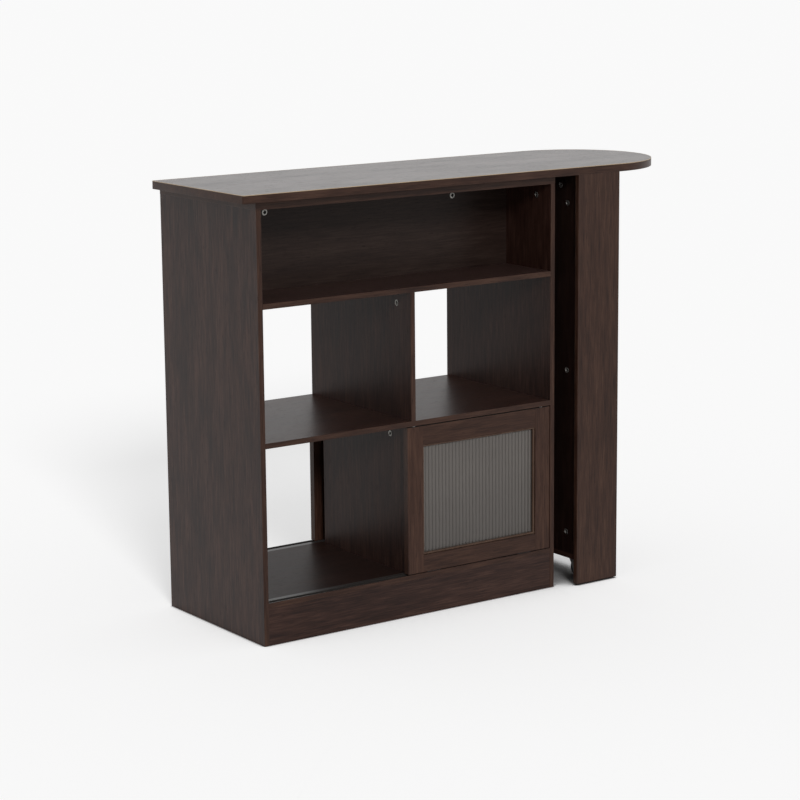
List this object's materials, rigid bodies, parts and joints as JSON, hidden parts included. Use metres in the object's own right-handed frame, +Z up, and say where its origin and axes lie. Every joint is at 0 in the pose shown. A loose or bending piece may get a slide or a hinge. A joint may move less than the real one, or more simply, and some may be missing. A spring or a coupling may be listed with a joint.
{
  "type": "bar cabinet",
  "caption": "Bar cabinet with open bays, fluted-glass sliding doors front and rear, and a swinging round-ended table top carried by a rolling leg.",
  "frame": {"origin": "on the floor under the middle of the whole object", "axes": "+X to the right seen from the front, along the row of bays; +Y from the front to the rear; +Z up"},
  "size_m": [1.2114, 0.427, 0.9825],
  "materials": {
    "board": "satin dark espresso wood grain laminate",
    "door_frame": "satin dark espresso wood grain laminate",
    "fluted_glass": "clear, fluted on one face",
    "track": "satin grey anodised",
    "zinc": "zinc plated",
    "nylon": "matte white",
    "dowel": "raw beech",
    "caster_tread": "matte dark grey"
  },
  "bodies": {
    "cabinet": {"left_side": "board", "right_side": "board", "cabinet_top": "board", "upper_shelf": "board", "middle_shelf": "board", "floor_panel": "board", "front_plinth": "board", "rear_plinth": "board", "upper_partition": "board", "middle_divider": "board", "lower_divider": "board", "front_floor_track": "track", "rear_floor_track": "track", "front_top_track": "track", "rear_top_track": "track", "cabinet_cams": "zinc", "cabinet_cam_bolts": "zinc", "cabinet_dowels": "dowel", "pivot_bushing": "nylon", "slip_ring": "nylon"},
    "front_door": {"front_door_left_stile": "door_frame", "front_door_right_stile": "door_frame", "front_door_top_rail": "door_frame", "front_door_bottom_rail": "door_frame", "front_door_glass": "fluted_glass", "front_door_carriages": "nylon", "front_door_axles": "zinc", "front_door_guides": "nylon"},
    "rear_door": {"rear_door_left_stile": "door_frame", "rear_door_right_stile": "door_frame", "rear_door_top_rail": "door_frame", "rear_door_bottom_rail": "door_frame", "rear_door_glass": "fluted_glass", "rear_door_carriages": "nylon", "rear_door_axles": "zinc", "rear_door_guides": "nylon"},
    "table": {"table_top": "board", "pivot_bolt": "zinc", "pivot_nut": "zinc", "leg_front_board": "board", "leg_rear_board": "board", "leg_web": "board", "leg_bottom_board": "board", "leg_cams": "zinc", "leg_cam_bolts": "zinc", "leg_dowels": "dowel", "caster_screws": "zinc", "front_caster_plate": "zinc", "rear_caster_plate": "zinc"},
    "front_door_wheel_left": {"front_door_wheel_left": "nylon"},
    "front_door_wheel_right": {"front_door_wheel_right": "nylon"},
    "rear_door_wheel_left": {"rear_door_wheel_left": "nylon"},
    "rear_door_wheel_right": {"rear_door_wheel_right": "nylon"},
    "front_caster": {"front_caster_fork": "zinc", "front_caster_axle": "zinc"},
    "front_caster_wheel": {"front_caster_wheel": "caster_tread"},
    "rear_caster": {"rear_caster_fork": "zinc", "rear_caster_axle": "zinc"},
    "rear_caster_wheel": {"rear_caster_wheel": "caster_tread"}
  },
  "joints": [
    {"name": "table_swing", "type": "hinge", "parent": "cabinet", "child": "table", "pos_m": [-0.35875, 0.0135, 0.961], "axis": [0, 0, 1], "continuous": true},
    {"name": "front_door_slide", "type": "slide", "parent": "cabinet", "child": "front_door", "axis": [-1, 0, 0], "range_m": [0, 0.37]},
    {"name": "front_door_wheel_left_spin", "type": "hinge", "parent": "front_door", "child": "front_door_wheel_left", "pos_m": [-0.10425, -0.1775, 0.0978], "axis": [0, -1, 0], "continuous": true},
    {"name": "front_door_wheel_right_spin", "type": "hinge", "parent": "front_door", "child": "front_door_wheel_right", "pos_m": [0.15475, -0.1775, 0.0978], "axis": [0, -1, 0], "continuous": true},
    {"name": "rear_door_slide", "type": "slide", "parent": "cabinet", "child": "rear_door", "axis": [-1, 0, 0], "range_m": [0, 0.37]},
    {"name": "rear_door_wheel_left_spin", "type": "hinge", "parent": "rear_door", "child": "rear_door_wheel_left", "pos_m": [-0.10425, 0.2045, 0.0978], "axis": [0, -1, 0], "continuous": true},
    {"name": "rear_door_wheel_right_spin", "type": "hinge", "parent": "rear_door", "child": "rear_door_wheel_right", "pos_m": [0.15475, 0.2045, 0.0978], "axis": [0, -1, 0], "continuous": true},
    {"name": "front_caster_swivel", "type": "hinge", "parent": "table", "child": "front_caster", "pos_m": [0.34725, -0.1325, 0.056], "axis": [0, 0, 1], "continuous": true},
    {"name": "front_caster_spin", "type": "hinge", "parent": "front_caster", "child": "front_caster_wheel", "pos_m": [0.34725, -0.1465, 0.021], "axis": [1, 0, 0], "continuous": true},
    {"name": "rear_caster_swivel", "type": "hinge", "parent": "table", "child": "rear_caster", "pos_m": [0.34725, 0.0845, 0.056], "axis": [0, 0, 1], "continuous": true},
    {"name": "rear_caster_spin", "type": "hinge", "parent": "rear_caster", "child": "rear_caster_wheel", "pos_m": [0.34725, 0.0705, 0.021], "axis": [1, 0, 0], "continuous": true}
  ],
  "couplings": [
    {"joint": "front_door_wheel_left_spin", "follows": "front_door_slide", "rad_per_m": 125},
    {"joint": "front_door_wheel_right_spin", "follows": "front_door_slide", "rad_per_m": 125},
    {"joint": "rear_door_wheel_left_spin", "follows": "rear_door_slide", "rad_per_m": 125},
    {"joint": "rear_door_wheel_right_spin", "follows": "rear_door_slide", "rad_per_m": 125}
  ]
}
